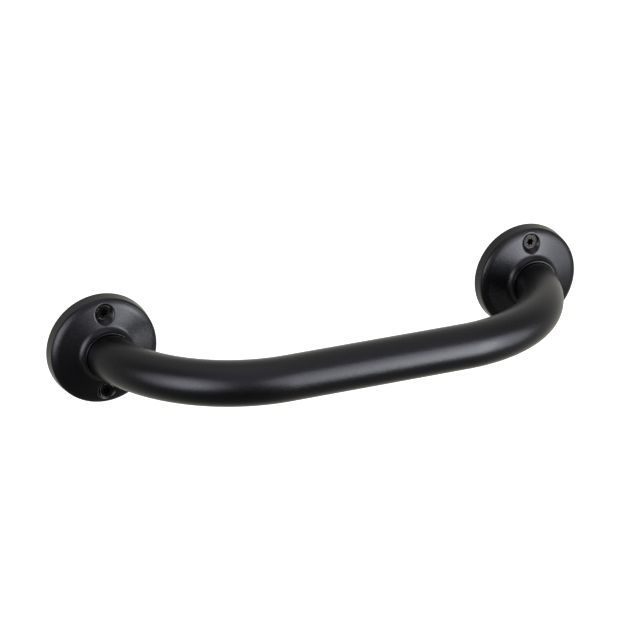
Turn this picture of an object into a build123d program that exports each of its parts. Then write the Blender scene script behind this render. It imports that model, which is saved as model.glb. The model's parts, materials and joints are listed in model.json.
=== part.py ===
from build123d import *
import os
from math import cos, radians, sin, sqrt, tan

# A wall-mounted grab bar: a round steel tube bent to a U, a pressed flange welded round each
# foot, and two star-drive screws through each flange.
# Frame: +X along the bar, the wall plane at y = 0 with the room on the -Y side, +Z up.
# The origin lies on the wall plane, midway between the two flanges.

# Driving dimensions, in millimetres and degrees

# Rail
tube_diameter = 25.0
tube_wall = 1.5
bend_radius = 78.0  # to the centreline
foot_length = 3.0  # straight length from the wall plane to the bend
foot_gap = 0.5  # the tube stops short of the wall, so that the rims seat first
flange_spacing = 258.0

# Flange
sheet = 1.5
side_height = 6.8  # where the side and the shoulder would meet without their round
side_draft = 6.0
shoulder_slope = 36.0
shoulder_flat = 0.1  # between the two rounds of the shoulder
shoulder_round = 2.1  # from the side to the shoulder
brow_round = 9.6  # from the shoulder to the face
face_slope = 13.5
collar_land = 9.5  # from the collar to a screw's axis
rim_land = 7.9  # from a screw's axis to the rim
neck_clearance = 0.4
neck_wall = 0.7
collar_fillet = 4.1
lip_straight = 0.03
lip_round = 0.25
weld_leg = 3.0

# Screw seats: dimples that follow the heads' cone
head_rise = 1.7  # from the meeting of the side and the shoulder to the top of a head
seat_angle = 36.0  # from a screw's axis to the cone of its head
head_clearance = 0.1
mouth_round = 1.5
hole_clearance = 0.3

# Screws
head_diameter = 8.4
head_edge = 0.3  # straight edge of a head, above its cone
head_round = 0.28
star_points = 6
star_diameter = 4.43
star_valley = 3.19
star_flute = 0.9
star_tip_round = 0.2
star_depth = 2.0
neck_diameter = 4.0
thread_diameter = 4.8
thread_gap = 0.6  # from the back of the seat to the thread
screw_length = 22.0  # with the head
point_length = 5.0

# Sizes that follow from them
tube_radius = tube_diameter / 2
rail_standoff = foot_length + bend_radius
slope = tan(radians(face_slope))
draft = tan(radians(side_draft))
side_slope = 90 - side_draft
face_thickness = sheet / cos(radians(face_slope))  # straight out from the wall
side_thickness = sheet / cos(radians(side_draft))  # straight across the flange

neck_bore = tube_radius + neck_clearance
neck_radius = neck_bore + neck_wall
screw_offset = neck_radius + collar_land
flange_radius = screw_offset + rim_land

# The flange's outer form, from the rim up the side, over the shoulder and the face to the lip
shoulder_run = (
    shoulder_round * tan(radians(side_slope - shoulder_slope) / 2)
    + shoulder_flat
    + brow_round * tan(radians(shoulder_slope - face_slope) / 2)
)
corner_radius = flange_radius - side_height * draft
brow_radius = corner_radius - shoulder_run * cos(radians(shoulder_slope))
brow_height = side_height + shoulder_run * sin(radians(shoulder_slope))
face_top = brow_height + (brow_radius - neck_radius) * slope
lip_height = face_top + collar_fillet * tan(radians(90 - face_slope) / 2) + lip_straight + lip_round
neck_under = face_top + neck_wall * slope - face_thickness

# A screw's head, and the dimple that it sits in
head_radius = head_diameter / 2
head_top = side_height + head_rise
cone_spread = tan(radians(seat_angle))
cone_top = head_top - head_edge
cone_foot = cone_top - (head_radius - neck_diameter / 2) / cone_spread
hole_radius = thread_diameter / 2 + hole_clearance
seat_height = cone_top - (head_radius + head_clearance - hole_radius) / cone_spread
seat_depth = face_top - seat_height  # to above the face all round
seat_mouth = hole_radius + seat_depth * cone_spread
seat_back = hole_radius + sheet / cos(radians(seat_angle)) - sheet * cone_spread


def inner_corner(radius, height, first_slope, second_slope):
    """The corner of the sheet's back, behind an outer corner of two runs with these slopes."""
    share = sheet / (1 + cos(radians(first_slope - second_slope)))
    return (
        radius - share * (sin(radians(first_slope)) + sin(radians(second_slope))),
        height - share * (cos(radians(first_slope)) + cos(radians(second_slope))),
    )


# The bend starts below the lip, so each foot stands a little outside its flange's axis and
# the tube passes through the middle of the lip.
bend_rise = max(lip_height - foot_length, 0.0)
foot_shift = bend_radius - sqrt(bend_radius**2 - bend_rise**2)
foot_x = flange_spacing / 2 + foot_shift
weld_root = tube_radius - foot_shift  # within the tube all round

wall_plane = Plane(origin=(0, 0, 0), x_dir=(1, 0, 0), z_dir=(0, -1, 0))

os.makedirs("parts", exist_ok=True)

# Rail: one tube, swept along straight runs and two tangent bends
with BuildPart() as rail:
    with BuildLine() as rail_line:
        FilletPolyline(
            (-foot_x, -foot_gap),
            (-foot_x, -rail_standoff),
            (foot_x, -rail_standoff),
            (foot_x, -foot_gap),
            radius=bend_radius,
        )
    with BuildSketch(Plane(origin=rail_line.line @ 0, z_dir=rail_line.line % 0)):
        Circle(tube_radius)
        Circle(tube_radius - tube_wall, mode=Mode.SUBTRACT)
    sweep()
rail.part.label = "rail"
export_step(rail.part, "parts/rail.step")

# The space that the tube fills, which the welds are shaped to
with BuildPart() as tube_space:
    with BuildSketch(Plane(origin=rail_line.line @ 0, z_dir=rail_line.line % 0)):
        Circle(tube_radius)
    sweep(path=rail_line.line)

# Flanges: a turned form with two screw seats sunk into its face, hollowed to a sheet from behind
for side, name in ((-1, "left_flange"), (1, "right_flange")):
    centre = Vector(side * flange_spacing / 2, 0, 0)
    section_plane = Plane(origin=centre, x_dir=(1, 0, 0), z_dir=(0, 0, -1))
    seat_plane = Plane(origin=centre, x_dir=(1, 0, 0), z_dir=(0, -1, 0)).offset(seat_height)
    flange_axis = Axis(centre, (0, -1, 0))

    # The hollow behind the sheet, with the metal of the two seats left standing in it
    with BuildPart() as hollow:
        with BuildSketch(section_plane):
            with BuildLine():
                FilletPolyline(
                    (0, 0),
                    (0, lip_height),
                    (neck_bore, lip_height),
                    (neck_bore, neck_under),
                    inner_corner(brow_radius, brow_height, shoulder_slope, face_slope),
                    inner_corner(corner_radius, side_height, side_slope, shoulder_slope),
                    (flange_radius - side_thickness, 0),
                    radius=[
                        0,
                        0,
                        0,
                        collar_fillet + sheet,
                        max(brow_round - sheet, 0),
                        max(shoulder_round - sheet, 0),
                        0,
                    ],
                    close=True,
                )
            make_face()
        revolve(axis=flange_axis)
        with Locations(seat_plane.offset(-sheet)):
            with GridLocations(0, 2 * screw_offset, 1, 2):
                Cone(
                    seat_back,
                    seat_back + (sheet + seat_depth) * cone_spread,
                    sheet + seat_depth,
                    align=(Align.CENTER, Align.CENTER, Align.MIN),
                    mode=Mode.SUBTRACT,
                )

    with BuildPart() as flange:
        with BuildSketch(section_plane):
            with BuildLine():
                FilletPolyline(
                    (0, 0),
                    (flange_radius, 0),
                    (corner_radius, side_height),
                    (brow_radius, brow_height),
                    (neck_radius, face_top),
                    (neck_radius, lip_height),
                    (0, lip_height),
                    radius=[0, 0, shoulder_round, brow_round, collar_fillet, lip_round, 0],
                    close=True,
                )
            make_face()
        revolve(axis=flange_axis)
        with Locations(seat_plane):
            with GridLocations(0, 2 * screw_offset, 1, 2):
                Cone(
                    hole_radius,
                    seat_mouth,
                    seat_depth,
                    align=(Align.CENTER, Align.CENTER, Align.MIN),
                    mode=Mode.SUBTRACT,
                )
        rims = flange.edges(Select.LAST).filter_by(GeomType.LINE, reverse=True)
        feet = rims.filter_by_position(Axis.Y, -seat_height, -seat_height)
        fillet(rims - feet, mouth_round)
        add(hollow.part, mode=Mode.SUBTRACT)
        with BuildSketch(seat_plane):
            with GridLocations(0, 2 * screw_offset, 1, 2):
                Circle(hole_radius)
        extrude(amount=-sheet, mode=Mode.SUBTRACT)
        with BuildSketch(section_plane):
            with BuildLine():
                Polyline(
                    (weld_root, neck_under - weld_leg),
                    (neck_bore + weld_leg, neck_under - weld_leg * slope + face_thickness / 2),
                    (weld_root, neck_under + weld_leg),
                    close=True,
                )
            make_face()
        revolve(axis=flange_axis)
        add(tube_space.part, mode=Mode.SUBTRACT)
    flange.part.label = name
    export_step(flange.part, f"parts/{name}.step")

# One screw, standing on its own axis with the wall plane at z = 0
thread_top = seat_height - sheet - thread_gap
point_end = head_top - screw_length
with BuildPart() as screw:
    with BuildSketch(Plane.XZ):
        with BuildLine():
            FilletPolyline(
                (0, head_top),
                (head_radius, head_top),
                (head_radius, cone_top),
                (neck_diameter / 2, cone_foot),
                (neck_diameter / 2, thread_top),
                (thread_diameter / 2, thread_top),
                (thread_diameter / 2, point_end + point_length),
                (0, point_end),
                radius=[0, head_round, 0, 0, 0, 0, 0, 0],
                close=True,
            )
        make_face()
    revolve(axis=Axis.Z)
    with BuildSketch(Plane.XY.offset(head_top)):
        Circle(star_diameter / 2)
        with PolarLocations(star_valley / 2 + star_flute, star_points):
            Circle(star_flute, mode=Mode.SUBTRACT)
        fillet(vertices(), star_tip_round)
    extrude(amount=-star_depth, mode=Mode.SUBTRACT)

# The four screws, one above and one below the tube at each flange
with BuildPart(wall_plane) as mounting_screws:
    with GridLocations(flange_spacing, 2 * screw_offset, 2, 2):
        add(screw.part)
mounting_screws.part.label = "mounting_screws"
export_step(mounting_screws.part, "parts/mounting_screws.step")

print(
    f"flange {2 * flange_radius:.2f} across, lip {lip_height:.2f} and rail {rail_standoff:.2f} from the wall"
    f", feet {2 * foot_x:.2f} and screws {2 * screw_offset:.2f} apart"
)
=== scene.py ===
# %% [markdown]
# A grab bar for a shower or bath: one steel tube bent to a U, a pressed steel flange round each
# foot and two star-drive screws through each flange, all of it black. The solids come from the
# part's CAD source. This script gives them their finish, makes the forms that are too fine for
# the solids, and sets up the photograph's camera and light.
# Every object is in metres in the frame of the solids: +X along the bar, +Y into the wall, +Z up.

# %% Load the solids
import json
import math

import bpy
from mathutils import Matrix, Vector


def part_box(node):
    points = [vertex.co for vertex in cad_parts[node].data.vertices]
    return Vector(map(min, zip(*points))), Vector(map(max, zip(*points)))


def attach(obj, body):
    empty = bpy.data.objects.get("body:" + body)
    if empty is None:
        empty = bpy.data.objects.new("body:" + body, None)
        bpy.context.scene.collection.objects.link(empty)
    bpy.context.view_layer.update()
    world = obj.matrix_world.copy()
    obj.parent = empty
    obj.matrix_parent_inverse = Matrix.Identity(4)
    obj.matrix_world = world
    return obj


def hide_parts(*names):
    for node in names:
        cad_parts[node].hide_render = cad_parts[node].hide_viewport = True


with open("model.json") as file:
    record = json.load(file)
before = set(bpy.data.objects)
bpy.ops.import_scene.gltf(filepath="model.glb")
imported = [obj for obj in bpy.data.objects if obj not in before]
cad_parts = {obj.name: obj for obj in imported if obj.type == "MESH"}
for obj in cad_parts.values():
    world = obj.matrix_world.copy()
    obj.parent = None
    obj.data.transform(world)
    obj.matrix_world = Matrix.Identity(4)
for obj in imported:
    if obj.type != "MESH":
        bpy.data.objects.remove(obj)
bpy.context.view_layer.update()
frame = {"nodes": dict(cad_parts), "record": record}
scene = bpy.context.scene
MM = 0.001
print("solids:", ", ".join(sorted(frame["nodes"])))

# %% [markdown]
# The photograph was taken with a long lens from above and to the left, so the U looks almost
# free of perspective. A camera could be placed by eye, but a small error in angle shows at once
# on a shape this plain. Here the angles, the distance and the focal length come from a fit of
# the object's outline, and the camera's axes are worked out from the two angles and a small roll.
# The lights will be placed by two angles as well, so one function turns such a pair, in degrees,
# into a direction away from the bar.

# %% Camera
def direction_at(azimuth, elevation):
    turn, lift = math.radians(azimuth), math.radians(elevation)
    return Vector((
        math.sin(turn) * math.cos(lift),
        -math.cos(turn) * math.cos(lift),
        math.sin(lift),
    ))


image_side = 640
focal_pixels = 2775.1
camera_distance = 1.5165
camera_target = Vector((-15.7, -40.0, 11.5)) * MM
camera_azimuth, camera_elevation = -23.035, 22.949
camera_roll = math.radians(-0.375)

back = direction_at(camera_azimuth, camera_elevation)
level = direction_at(camera_azimuth + 90, 0)
right = math.cos(camera_roll) * level + math.sin(camera_roll) * back.cross(level)
axes = Matrix((right, back.cross(right), back)).transposed()

camera_data = bpy.data.cameras.new("photo_camera")
camera_data.sensor_width = 36.0
camera_data.lens = camera_data.sensor_width * focal_pixels / image_side
camera = bpy.data.objects.new("photo_camera", camera_data)
camera.matrix_world = Matrix.Translation(camera_target + camera_distance * back) @ axes.to_4x4()
scene.collection.objects.link(camera)
scene.camera = camera
print(f"camera: {camera_data.lens:.1f} mm lens at {tuple(round(c, 3) for c in camera.location)}")

# %% [markdown]
# A black gloss is mostly a picture of the room, so the light decides how this bar looks. The
# photograph shows a bright softbox to the right of the camera at the height of the bar and a
# weaker one to the left. The cloth of a softbox is brightest in front of its lamp and dimmer
# towards its edges, so each box is two round area lights here, a small one and a large dim one.
# A light's brightness is given as radiance, where 1 is white paper in the picture, and turned
# into watts from the light's area. The numbers of the lights, and of the room after them, began
# as a fit to the bar's brightness and colour in the photograph, and were then rounded and changed
# by trial renders. Colours are sRGB hex values, as a colour picker shows them, and Blender works
# in linear light, so one function turns the first into the second.

# %% Softboxes
def linear(hex_colour):
    channels = [int(hex_colour[i:i + 2], 16) / 255 for i in (1, 3, 5)]
    return (*(c / 12.92 if c <= 0.04045 else ((c + 0.055) / 1.055) ** 2.4 for c in channels), 1.0)


bar_centre = Vector((0.0, -0.06, 0.0))
softbox_distance = 0.9


def softbox(name, azimuth, elevation, roll, width, height, radiance, colour):
    toward = direction_at(azimuth, elevation)
    area = math.pi / 4 * width * height
    data = bpy.data.lights.new(name, "AREA")
    data.shape = "ELLIPSE"
    data.size, data.size_y = width, height
    data.energy = radiance * math.pi * area
    data.color = linear(colour)[:3]
    light = bpy.data.objects.new(name, data)
    light.location = bar_centre + softbox_distance * toward
    rolled = Matrix.Rotation(-math.radians(roll), 3, "Z")
    light.rotation_euler = (toward.to_track_quat("Z", "Y").to_matrix() @ rolled).to_euler()
    light.visible_camera = False
    scene.collection.objects.link(light)


# azimuth, elevation and roll in degrees, width and height in metres, radiance, colour
softbox("right_lamp", 32.8, -1.7, 16, 0.385, 0.80, 5.9, "#f6f9ff")
softbox("right_cloth", 35.7, 6.5, 21, 1.48, 0.80, 2.75, "#f0f3ff")
softbox("left_lamp", -56.4, 8.3, -5, 0.48, 0.51, 2.85, "#f2faff")
softbox("left_cloth", -59.0, 10.1, -5, 1.01, 0.87, 2.05, "#ebeaff")

# %% [markdown]
# The rest of the room shows in the coat too, though faintly: a warm bright backdrop behind the
# bar, which draws the pale line along the tube's edges, a pale wall and ceiling, and hardly any
# light from low in front. Modelled walls would do, but a world shader is simpler: each surface
# is a facing direction with a brightness that fades with the angle from it, and the sum of them
# is what the coat mirrors. The camera itself sees plain white, as in the photograph.
# The world shader is the first of several node trees, so a small function comes first, which
# adds a node, sets its properties, and fills its sockets with values or with links. A socket is
# given by its name, or by its number where a node has several of one name.

# %% Add a node
def add_node(tree, kind, sockets=None, **settings):
    node = tree.nodes.new(kind)
    for name, value in settings.items():
        setattr(node, name, value)
    for name, value in (sockets or {}).items():
        if isinstance(value, bpy.types.NodeSocket):
            tree.links.new(value, node.inputs[name])
        else:
            node.inputs[name].default_value = value
    return node


# %% Surfaces of the room
room_surfaces = (
    # facing, spread (larger is narrower), radiance, colour
    ((0.00, 1.00, 0.00), 1.0, 0.62, "#fefefe"),  # rear wall
    ((0.36, 0.85, -0.39), 3.0, 0.17, "#ffef99"),  # backdrop behind the bar
    ((0.00, 0.00, 1.00), 8.0, 0.60, "#f8fcff"),  # ceiling
    ((0.00, -0.71, 0.71), 4.0, 0.53, "#ebe3ff"),  # upper wall behind the camera
    ((1.00, 0.00, 0.00), 1.0, 0.25, "#fffcfd"),  # right wall
    ((-1.00, 0.00, 0.00), 1.0, 0.08, "#fffcf2"),  # left wall
    ((0.00, 0.60, -0.80), 1.0, 0.16, "#fffdf6"),  # floor behind the bar
)
room_least = 0.03
print(f"room: {len(room_surfaces)} lit surfaces over a base of {room_least}")

# %% Sum of the surfaces
world = bpy.data.worlds.new("studio_room")
world.use_nodes = True
room = world.node_tree
room.nodes.clear()
direction = add_node(room, "ShaderNodeTexCoord").outputs["Generated"]
total = None
for facing, spread, radiance, colour in room_surfaces:
    along = add_node(
        room,
        "ShaderNodeVectorMath",
        {0: direction, 1: facing},
        operation="DOT_PRODUCT",
    )
    ahead = add_node(
        room,
        "ShaderNodeMath",
        {0: along.outputs["Value"], 1: 0.0},
        operation="MAXIMUM",
    )
    share = add_node(
        room,
        "ShaderNodeMath",
        {0: ahead.outputs["Value"], 1: spread},
        operation="POWER",
    )
    brightest = [radiance * channel for channel in linear(colour)[:3]]
    lit = add_node(
        room,
        "ShaderNodeVectorMath",
        {0: brightest, "Scale": share.outputs["Value"]},
        operation="SCALE",
    )
    total = add_node(
        room,
        "ShaderNodeVectorMath",
        {0: lit.outputs["Vector"], 1: total or [room_least] * 3},
        operation="ADD",
    ).outputs["Vector"]
print("room:", len(room.nodes), "nodes for the surfaces")

# %% White behind the bar
glow = add_node(room, "ShaderNodeBackground", {"Color": total, "Strength": 1.0})
white = add_node(room, "ShaderNodeBackground", {"Color": linear("#ffffff"), "Strength": 1.0})
camera_ray = add_node(room, "ShaderNodeLightPath").outputs["Is Camera Ray"]
seen = add_node(
    room,
    "ShaderNodeMixShader",
    {0: camera_ray, 1: glow.outputs["Background"], 2: white.outputs["Background"]},
)
add_node(room, "ShaderNodeOutputWorld", {"Surface": seen.outputs["Shader"]})
scene.world = world
scene.view_settings.view_transform = "Standard"
print("world:", world.name, "of", len(room.nodes), "nodes")

# %% [markdown]
# The bar hangs over white with no shadow in the photograph. Photographers get that from a lit
# white acrylic sheet, so the floor here is one, well below the bar. The sheet's own light would
# fill the dark underside of the tube, which the photograph keeps dark, so the sheet is left out
# of the bar's reflections and lights nothing. To the eye it is an even white.

# %% Floor
def new_material(name):
    material = bpy.data.materials.new(name)
    material.use_nodes = True
    material.node_tree.nodes.clear()
    return material


floor_height, floor_half = -0.6, 20.0
floor_corners = ((-1, -1), (1, -1), (1, 1), (-1, 1))
floor_mesh = bpy.data.meshes.new("floor")
floor_mesh.from_pydata(
    [(x * floor_half, y * floor_half, floor_height) for x, y in floor_corners],
    [],
    [(0, 1, 2, 3)],
)
floor = bpy.data.objects.new("floor", floor_mesh)
floor.visible_glossy = False
floor.visible_diffuse = False
scene.collection.objects.link(floor)

acrylic = new_material("lit_white_acrylic")
sheet = add_node(
    acrylic.node_tree,
    "ShaderNodeBsdfPrincipled",
    {
        "Base Color": linear("#f2f2f0"),
        "Roughness": 0.5,
        "Emission Color": linear("#ffffff"),
        "Emission Strength": 0.95,
    },
)
add_node(acrylic.node_tree, "ShaderNodeOutputMaterial", {"Surface": sheet.outputs["BSDF"]})
floor_mesh.materials.append(acrylic)
print(f"floor: {2 * floor_half:.0f} m square, {-floor_height:.2f} m under the bar")

# %% [markdown]
# The tube and the flanges wear the same finish: satin black powder coat, sprayed as dry paint
# and baked. It is a plastic skin, so its gloss is that of a dielectric with an index near 1.5.
# As the powder melts it levels out into low waves about a millimetre long, called orange peel,
# with finer grit on top. A displaced mesh could carry both, but they are far lower than they are
# wide, so a bump on noise makes them without any more faces. Real grit would be too fine for the
# picture, so it is drawn coarser, at 0.75 millimetres.
# To the eye the coat is a soft mirror of the lamps on deep black, with a faint sparkle.

# %% Powder coat
def powder_coat(name):
    peel_length, peel_height = 1.1 * MM, 0.013 * MM
    grit_length, grit_height = 0.75 * MM, 0.040 * MM
    smoothest, roughest = 0.22, 0.39
    material = new_material(name)
    tree = material.node_tree
    place = add_node(tree, "ShaderNodeTexCoord").outputs["Object"]
    peel = add_node(
        tree,
        "ShaderNodeTexNoise",
        {"Vector": place, "Scale": 1 / peel_length, "Detail": 1.0},
    ).outputs["Fac"]
    grit = add_node(
        tree,
        "ShaderNodeTexNoise",
        {"Vector": place, "Scale": 1 / grit_length, "Detail": 2.0},
    ).outputs["Fac"]
    gloss = add_node(
        tree,
        "ShaderNodeMapRange",
        {"Value": grit, "To Min": smoothest, "To Max": roughest},
    )
    waves = add_node(tree, "ShaderNodeBump", {"Height": peel, "Distance": peel_height})
    grains = add_node(
        tree,
        "ShaderNodeBump",
        {"Height": grit, "Distance": grit_height, "Normal": waves.outputs["Normal"]},
    )
    skin = add_node(
        tree,
        "ShaderNodeBsdfPrincipled",
        {
            "Base Color": linear("#020203"),
            "IOR": 1.5,
            "Roughness": gloss.outputs["Result"],
            "Normal": grains.outputs["Normal"],
        },
    )
    add_node(tree, "ShaderNodeOutputMaterial", {"Surface": skin.outputs["BSDF"]})
    return material


coat = powder_coat("satin_black_powder_coat")
for node in ("left_flange", "right_flange"):
    frame["nodes"][node].data.materials[0] = coat
print("coat:", coat.name, "on both flanges")

# %% [markdown]
# The rail is one tube, bent on a machine from straight stock: two feet, two quarter bends and a
# grip. A bevelled curve could draw it, but its shape follows a rule, a circle carried along a
# line, so Geometry Nodes make it, with its sizes as named inputs. The modifier's own mesh is just
# the line's four corners. Fillet Curve rounds the two inner ones to the bend radius and Curve to
# Mesh carries the circle along. A Solidify modifier then gives the tube its wall, which shows
# from behind, where the feet are open.

# %% A tree with named inputs
def tree_with_inputs(name, inputs):
    tree = bpy.data.node_groups.new(name, "GeometryNodeTree")
    tree.interface.new_socket("Geometry", in_out="INPUT", socket_type="NodeSocketGeometry")
    for label, kind in inputs.items():
        tree.interface.new_socket(label, in_out="INPUT", socket_type=f"NodeSocket{kind}")
    tree.interface.new_socket("Geometry", in_out="OUTPUT", socket_type="NodeSocketGeometry")
    return tree, add_node(tree, "NodeGroupInput").outputs


# %% Tree of the bent tube
rail_tree, given = tree_with_inputs("bent_tube", {
    "Bend Radius": "Float",
    "Tube Radius": "Float",
    "Bend Steps": "Int",
    "Sides": "Int",
    "Finish": "Material",
})
line = add_node(rail_tree, "GeometryNodeMeshToCurve", {"Mesh": given["Geometry"]})
bent = add_node(
    rail_tree,
    "GeometryNodeFilletCurve",
    {
        "Curve": line.outputs["Curve"],
        "Count": given["Bend Steps"],
        "Radius": given["Bend Radius"],
    },
    mode="POLY",
)
ring = add_node(
    rail_tree,
    "GeometryNodeCurvePrimitiveCircle",
    {"Resolution": given["Sides"], "Radius": given["Tube Radius"]},
)
tube = add_node(
    rail_tree,
    "GeometryNodeCurveToMesh",
    {"Curve": bent.outputs["Curve"], "Profile Curve": ring.outputs["Curve"]},
)
smooth = add_node(rail_tree, "GeometryNodeSetShadeSmooth", {"Geometry": tube.outputs["Mesh"]})
real = add_node(
    rail_tree,
    "GeometryNodeRealizeInstances",
    {"Geometry": smooth.outputs["Geometry"]},
)
coated = add_node(
    rail_tree,
    "GeometryNodeSetMaterial",
    {"Geometry": real.outputs["Geometry"], "Material": given["Finish"]},
)
add_node(rail_tree, "NodeGroupOutput", {"Geometry": coated.outputs["Geometry"]})
print("tree:", rail_tree.name, "of", len(rail_tree.nodes), "nodes")

# %% From a tree to a plain piece
def grown(source, tree, values):
    modifier = source.modifiers.new(tree.name, "NODES")
    modifier.node_group = tree
    for item in tree.interface.items_tree:
        if item.in_out == "INPUT" and item.name in values:
            modifier[item.identifier] = values[item.name]
    evaluated = source.evaluated_get(bpy.context.evaluated_depsgraph_get())
    mesh = bpy.data.meshes.new_from_object(evaluated)
    source.modifiers.remove(modifier)
    return mesh


def piece_of(mesh, name):
    mesh.name = name
    piece = bpy.data.objects.new(name, mesh)
    scene.collection.objects.link(piece)
    return piece


# %% Rail
rail_low, rail_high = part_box("rail")
tube_radius = (rail_high.z - rail_low.z) / 2
tube_wall = 1.5 * MM
bend_radius = 78.0 * MM
foot_x = rail_high.x - tube_radius
foot_y, grip_y = rail_high.y, rail_low.y + tube_radius

corner_mesh = bpy.data.meshes.new("rail_corners")
corner_mesh.from_pydata(
    [(-foot_x, foot_y, 0), (-foot_x, grip_y, 0), (foot_x, grip_y, 0), (foot_x, foot_y, 0)],
    [(0, 1), (1, 2), (2, 3)],
    [],
)
rail_corners = piece_of(corner_mesh, "rail_corners")
rail_mesh = grown(rail_corners, rail_tree, {
    "Bend Radius": bend_radius,
    "Tube Radius": tube_radius,
    "Bend Steps": 72,
    "Sides": 128,
    "Finish": coat,
})
bpy.data.objects.remove(rail_corners)
rail = piece_of(rail_mesh, "rail_tube")
wall = rail.modifiers.new("tube_wall", "SOLIDIFY")
wall.thickness = tube_wall
wall.offset = -1.0
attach(rail, "root")
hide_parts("rail")
print(f"rail: {len(rail.data.polygons)} faces, {2 * tube_radius / MM:.1f} mm tube")

# %% [markdown]
# Each screw has a countersunk head with a six-lobed star recess, and its shank is threaded to the
# point. The flat of the head is dished a little inside a fine rim, and the punch that made the
# recess left a point at its bottom. A profile spun round the axis would give the round parts, but
# neither the star nor the thread is round. So a stack of rings of points makes the screw, joined
# ring to ring: the rings of the recess follow the star, those of the head are plain circles, and
# those of the shank carry a ridge that climbs one pitch in each turn, which is the thread.
# Heights are measured from the wall, with the head's top highest.

# %% Sizes from the solids
screw_low, screw_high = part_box("mounting_screws")
pattern = next(m for m in frame["record"]["mounts"] if m["name"] == "wall_screws")["dims"]
spacing_x, spacing_z = pattern["spacing_x_mm"] * MM, pattern["spacing_y_mm"] * MM
head_top, point_end = -screw_low.y, -screw_high.y
head_radius = screw_high.x - spacing_x / 2
thread_radius = pattern["stud_r_mm"] * MM
screw_length = head_top - point_end
print(f"screw: {screw_length / MM:.1f} mm long, head {2 * head_radius / MM:.1f} mm across")
print(f"screw: the head's top is {head_top / MM:.1f} mm from the wall")

# %% Rings of the star and the head
screw_sides = 96
star_radius, star_valley, flute_radius = 2.215 * MM, 1.595 * MM, 0.9 * MM


def star(angle):
    sixth = math.pi / 3
    flute_centre = star_valley + flute_radius
    off = (angle + sixth / 2) % sixth - sixth / 2
    inside = flute_radius**2 - (flute_centre * math.sin(off)) ** 2
    if inside <= 0:
        return star_radius
    return min(star_radius, flute_centre * math.cos(off) - math.sqrt(inside))


def star_ring(grow, height):
    return [(star(2 * math.pi * i / screw_sides) + grow, height) for i in range(screw_sides)]


def plain_ring(radius, height):
    return [(radius, height)] * screw_sides


# %% Rings of the thread
thread_top, thread_pitch, point_length = 3.9 * MM, 1.8 * MM, 5.0 * MM
core_radius = 1.75 * MM
ridge_half = 0.24  # half the width of the ridge, in pitches


def thread_ring(height):
    taper = min((height - point_end) / point_length, 1.0)
    points = []
    for i in range(screw_sides):
        phase = ((height - thread_top) / thread_pitch - i / screw_sides) % 1.0
        ridge = max(0.0, 1.0 - abs(phase - 0.5) / ridge_half)
        points.append((taper * (core_radius + ridge * (thread_radius - core_radius)), height))
    return points


# %% Stack of rings
star_walls, punch_point, tip_share = 1.4 * MM, 1.0 * MM, 0.15
star_edge, dish, rim_foot = 0.06 * MM, 0.12 * MM, 0.12 * MM
head_edge, head_round, neck_radius = 0.3 * MM, 0.28 * MM, 2.0 * MM
cone_angle = math.radians(36.0)
rim_arc = range(135, -1, -15)  # degrees, from the rim's inner side over its top to the outer
steps_per_turn = 12

recess_foot = head_top - star_walls
flat_height = head_top - dish
rim_middle = head_radius - head_round
cone_top = head_top - head_edge
cone_foot = cone_top - (head_radius - neck_radius) / math.tan(cone_angle)
thread_length = thread_top - point_end
thread_steps = round(steps_per_turn * thread_length / thread_pitch)

screw_rings = [
    plain_ring(tip_share * star_valley, recess_foot - (1 - tip_share) * punch_point),
    star_ring(0.0, recess_foot),
    star_ring(0.0, flat_height - star_edge),
    star_ring(star_edge, flat_height),
    plain_ring(rim_middle - head_round - rim_foot, flat_height),
    plain_ring(rim_middle - head_round, flat_height),
]
for degrees in rim_arc:
    turn = math.radians(degrees)
    screw_rings.append(plain_ring(
        rim_middle + head_round * math.cos(turn),
        head_top - head_round + head_round * math.sin(turn),
    ))
screw_rings += [
    plain_ring(head_radius, cone_top),
    plain_ring(neck_radius, cone_foot),
    plain_ring(neck_radius, thread_top),
]
for step in range(1, thread_steps):
    screw_rings.append(thread_ring(thread_top - thread_length * step / thread_steps))
print(f"screw: {len(screw_rings)} rings of {screw_sides} points")

# %% One screw
sharp_angle = math.radians(40)


def stacked_mesh(name, first_height, rings, last_height):
    points = [(0.0, 0.0, first_height)]
    for ring_points in rings:
        for i, (radius, height) in enumerate(ring_points):
            angle = 2 * math.pi * i / screw_sides
            points.append((radius * math.cos(angle), radius * math.sin(angle), height))
    points.append((0.0, 0.0, last_height))
    starts = [1 + number * screw_sides for number in range(len(rings))]
    faces = []
    for i in range(screw_sides):
        j = (i + 1) % screw_sides
        faces.append((0, starts[0] + i, starts[0] + j))
        for near, far in zip(starts, starts[1:]):
            faces.append((near + i, far + i, far + j, near + j))
        faces.append((starts[-1] + i, len(points) - 1, starts[-1] + j))
    mesh = bpy.data.meshes.new(name)
    mesh.from_pydata(points, [], faces)
    mesh.validate()
    mesh.shade_smooth()
    mesh.set_sharp_from_angle(angle=sharp_angle)
    return mesh


screw_mesh = stacked_mesh("screw", recess_foot - punch_point, screw_rings, point_end)
screw = piece_of(screw_mesh, "screw")
print(f"screw: {len(screw.data.polygons)} faces")
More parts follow.
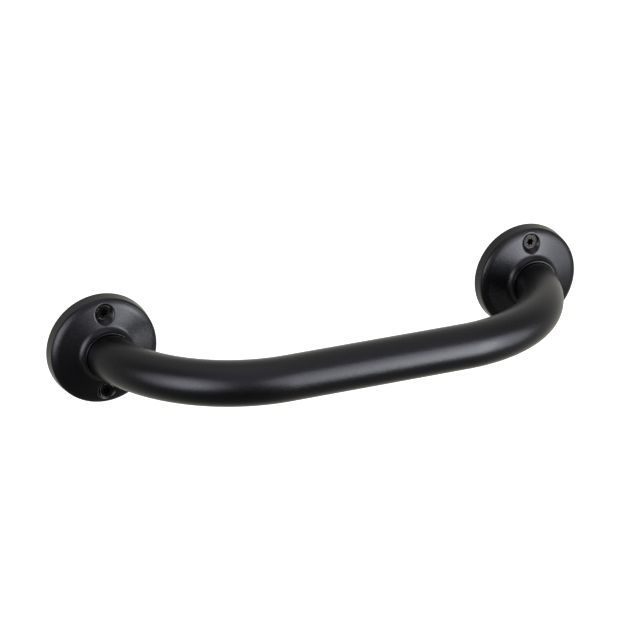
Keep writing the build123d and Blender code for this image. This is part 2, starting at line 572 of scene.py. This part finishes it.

# %% [markdown]
# The screws are steel with a thin black plating, which keeps the steel's gloss but hardly any of
# its brightness. Along the rim of a head the plating is rubbed through in spots, where bare steel
# glints. Deep in the star the colour is painted near black and matt, as painted shade for the
# recess, not as a change in the plating. A painted map could mark these places, but all this
# depends only on where a point lies on its screw: its distance from the screw's axis and its
# depth below the top of the head. The shader works both out from the object's coordinates, after
# folding the four screws onto one.

# %% Where a point lies on its screw
def place_on_screw(tree, place):
    folded = add_node(tree, "ShaderNodeVectorMath", {0: place}, operation="ABSOLUTE")
    aside = add_node(
        tree,
        "ShaderNodeVectorMath",
        {0: folded.outputs["Vector"], 1: (spacing_x / 2, 0.0, spacing_z / 2)},
        operation="SUBTRACT",
    )
    across = add_node(
        tree,
        "ShaderNodeVectorMath",
        {0: aside.outputs["Vector"], 1: (1.0, 0.0, 1.0)},
        operation="MULTIPLY",
    )
    off_axis = add_node(
        tree,
        "ShaderNodeVectorMath",
        {0: across.outputs["Vector"]},
        operation="LENGTH",
    )
    parts = add_node(tree, "ShaderNodeSeparateXYZ", {"Vector": place})
    depth = add_node(
        tree,
        "ShaderNodeMath",
        {0: parts.outputs["Y"], 1: head_top},
        operation="ADD",
    )
    return off_axis.outputs["Value"], depth.outputs["Value"]


# %% Rubbed rim and painted shade in the star
def wear_and_shade_of_screw(tree, place, grain):
    rim_inside, rim_outside = head_radius - 0.45 * MM, head_radius - 0.30 * MM
    spots_from, spots_to = 0.42, 0.62  # levels of the grain between which it rubs through
    # depths below the head's top between which the star is painted near black, as painted shade
    painted_shade_from, painted_shade_to = star_walls - 0.05 * MM, star_walls + 1.6 * MM  # depths below the top
    off_axis, depth = place_on_screw(tree, place)
    on_rim = add_node(
        tree,
        "ShaderNodeMapRange",
        {"Value": off_axis, "From Min": rim_inside, "From Max": rim_outside},
    )
    spots = add_node(
        tree,
        "ShaderNodeMapRange",
        {"Value": grain, "From Min": spots_from, "From Max": spots_to},
    )
    rubbed = add_node(
        tree,
        "ShaderNodeMath",
        {0: on_rim.outputs["Result"], 1: spots.outputs["Result"]},
        operation="MULTIPLY",
    )
    # mask of the painted shade deep in the star, from the foot of its walls down to the shank
    past_walls = add_node(
        tree,
        "ShaderNodeMath",
        {0: depth, 1: painted_shade_from},
        operation="GREATER_THAN",
    )
    above_shank = add_node(tree, "ShaderNodeMath", {0: depth, 1: painted_shade_to}, operation="LESS_THAN")
    painted_star_shade = add_node(
        tree,
        "ShaderNodeMath",
        {0: past_walls.outputs["Value"], 1: above_shank.outputs["Value"]},
        operation="MULTIPLY",
    )
    return rubbed.outputs["Value"], painted_star_shade.outputs["Value"]


# %% Black plating
def black_plating(name):
    grain_length, grain_height = 0.30 * MM, 0.006 * MM
    smoothest, roughest, matt = 0.12, 0.26, 0.5
    material = new_material(name)
    tree = material.node_tree
    place = add_node(tree, "ShaderNodeTexCoord").outputs["Object"]
    grain = add_node(
        tree,
        "ShaderNodeTexNoise",
        {"Vector": place, "Scale": 1 / grain_length, "Detail": 2.0},
    ).outputs["Fac"]
    marks = add_node(tree, "ShaderNodeBump", {"Height": grain, "Distance": grain_height})
    gloss = add_node(
        tree,
        "ShaderNodeMapRange",
        {"Value": grain, "To Min": smoothest, "To Max": roughest},
    )
    rubbed, painted_star_shade = wear_and_shade_of_screw(tree, place, grain)
    # sockets of a Mix node: 0 is the share, 2 and 3 are numbers, 6 and 7 are colours
    worn = add_node(
        tree,
        "ShaderNodeMix",
        {0: rubbed, 6: linear("#2c2b29"), 7: linear("#66635d")},
        data_type="RGBA",
    )
    # painted shade: deep in the star the colour is mixed to near black and the roughness to matt
    shade = add_node(
        tree,
        "ShaderNodeMix",
        {0: painted_star_shade, 6: worn.outputs[2], 7: linear("#080808")},
        data_type="RGBA",
    )
    polish = add_node(tree, "ShaderNodeMix", {0: painted_star_shade, 2: gloss.outputs["Result"], 3: matt})
    metal = add_node(
        tree,
        "ShaderNodeBsdfPrincipled",
        {
            "Base Color": shade.outputs[2],
            "Metallic": 1.0,
            "Roughness": polish.outputs[0],
            "Normal": marks.outputs["Normal"],
        },
    )
    add_node(tree, "ShaderNodeOutputMaterial", {"Surface": metal.outputs["BSDF"]})
    return material


plating = black_plating("black_plated_steel")
print("plating:", plating.name, "of", len(plating.node_tree.nodes), "nodes")

# %% [markdown]
# The four screws are one shape in four places. Copies could be placed by hand, but a second tree
# does it from the two spacings: a grid of two by two points, a screw on each, turned by chance as
# a driver leaves it, and the whole laid over so that the heads face the room. The chance has a
# fixed seed, so each run gives the same turns.

# %% Tree of the screw pattern
screws_tree, given = tree_with_inputs("screw_pattern", {
    "Screw": "Object",
    "Spacing Along": "Float",
    "Spacing Up": "Float",
    "Seed": "Int",
    "Finish": "Material",
})
grid = add_node(
    screws_tree,
    "GeometryNodeMeshGrid",
    {
        "Size X": given["Spacing Along"],
        "Size Y": given["Spacing Up"],
        "Vertices X": 2,
        "Vertices Y": 2,
    },
)
shape = add_node(screws_tree, "GeometryNodeObjectInfo", {"Object": given["Screw"]})
driven = add_node(
    screws_tree,
    "FunctionNodeRandomValue",
    {0: (0.0, 0.0, 0.0), 1: (0.0, 0.0, 2 * math.pi), "Seed": given["Seed"]},
    data_type="FLOAT_VECTOR",
)
placed = add_node(
    screws_tree,
    "GeometryNodeInstanceOnPoints",
    {
        "Points": grid.outputs["Mesh"],
        "Instance": shape.outputs["Geometry"],
        "Rotation": driven.outputs[0],
    },
)
laid_over = add_node(
    screws_tree,
    "GeometryNodeTransform",
    {"Geometry": placed.outputs["Instances"], "Rotation": (math.pi / 2, 0.0, 0.0)},
)
real = add_node(
    screws_tree,
    "GeometryNodeRealizeInstances",
    {"Geometry": laid_over.outputs["Geometry"]},
)
plated = add_node(
    screws_tree,
    "GeometryNodeSetMaterial",
    {"Geometry": real.outputs["Geometry"], "Material": given["Finish"]},
)
add_node(screws_tree, "NodeGroupOutput", {"Geometry": plated.outputs["Geometry"]})
print("tree:", screws_tree.name, "of", len(screws_tree.nodes), "nodes")

# %% Four screws
holder = piece_of(bpy.data.meshes.new("screw_places"), "screw_places")
screws_mesh = grown(holder, screws_tree, {
    "Screw": screw,
    "Spacing Along": spacing_x,
    "Spacing Up": spacing_z,
    "Seed": 4,
    "Finish": plating,
})
bpy.data.objects.remove(holder)
bpy.data.objects.remove(screw)
screws = piece_of(screws_mesh, "star_drive_screws")
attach(screws, "root")
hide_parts("mounting_screws")
print(f"screws: {len(screws.data.polygons)} faces in four")
